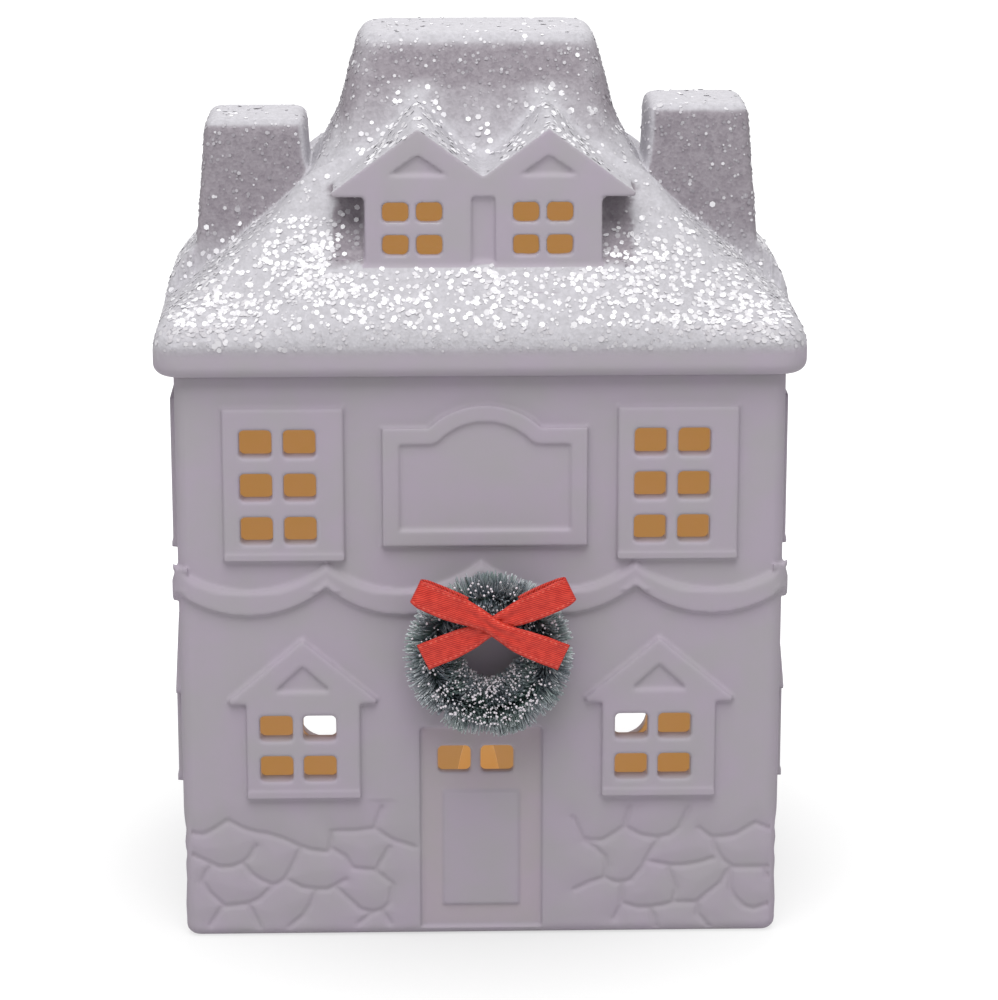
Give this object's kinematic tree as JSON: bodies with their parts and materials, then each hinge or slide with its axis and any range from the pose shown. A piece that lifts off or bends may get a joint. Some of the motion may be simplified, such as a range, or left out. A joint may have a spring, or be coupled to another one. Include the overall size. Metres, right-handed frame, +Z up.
{
  "type": "lit ceramic village house",
  "caption": "Hollow ceramic village house with bell roof, chimneys, dormers and open window panes, a bristle wreath with ribbon bow, and a battery light drawn out at the back.",
  "frame": {"origin": "on the table, under the middle of the walls, in the flat underside", "axes": "+Z up, -Y toward the front with the door, +X to the right seen from the front"},
  "size_m": [0.128, 0.1051, 0.18],
  "materials": {
    "bisque": "matte unglazed bisque",
    "snow_bisque": "matte bisque with a coat of clear and white glitter",
    "wreath_wire": "dull green",
    "bristle": "sisal bristle with frosted tips",
    "ribbon": "satin",
    "glue": "hot-melt glue",
    "light_shell": "smooth moulded",
    "flame": "frosted, lit",
    "lamp": "clear amber, lit",
    "tinned_lead": "tinned wire",
    "carrier": "moulded",
    "contact": "sprung strip",
    "cell": "satin",
    "switch": "moulded",
    "screw": "plain"
  },
  "bodies": {
    "house": {"wall_casting": "bisque", "roof_casting": "snow_bisque", "wreath_wire": "wreath_wire", "wreath_bristles": "bristle", "wreath_glue": "glue", "bow_ribbon_under": "ribbon", "bow_ribbon_over": "ribbon", "bow_glue": "glue"},
    "light": {"light_cup": "light_shell", "flame_lens": "flame", "led_lamp": "lamp", "led_leads": "tinned_lead", "cell_carrier": "carrier", "centre_contact": "contact", "side_contact": "contact", "coin_cell": "cell", "base_plate": "light_shell", "base_screws": "screw"},
    "cover": {"battery_cover": "light_shell"},
    "switch": {"switch_slider": "switch"}
  },
  "joints": [
    {"name": "light_draw", "type": "slide", "parent": "house", "child": "light", "axis": [0, 0.9511, 0.309], "range_m": [0, 0.088]},
    {"name": "cover_twist", "type": "hinge", "parent": "light", "child": "cover", "pos_m": [0, -0.014, 0.0055], "axis": [0, 0, 1], "range_deg": [0, 45]},
    {"name": "switch_slide", "type": "slide", "parent": "light", "child": "switch", "axis": [1, 0, 0], "range_m": [0, 0.003]}
  ]
}
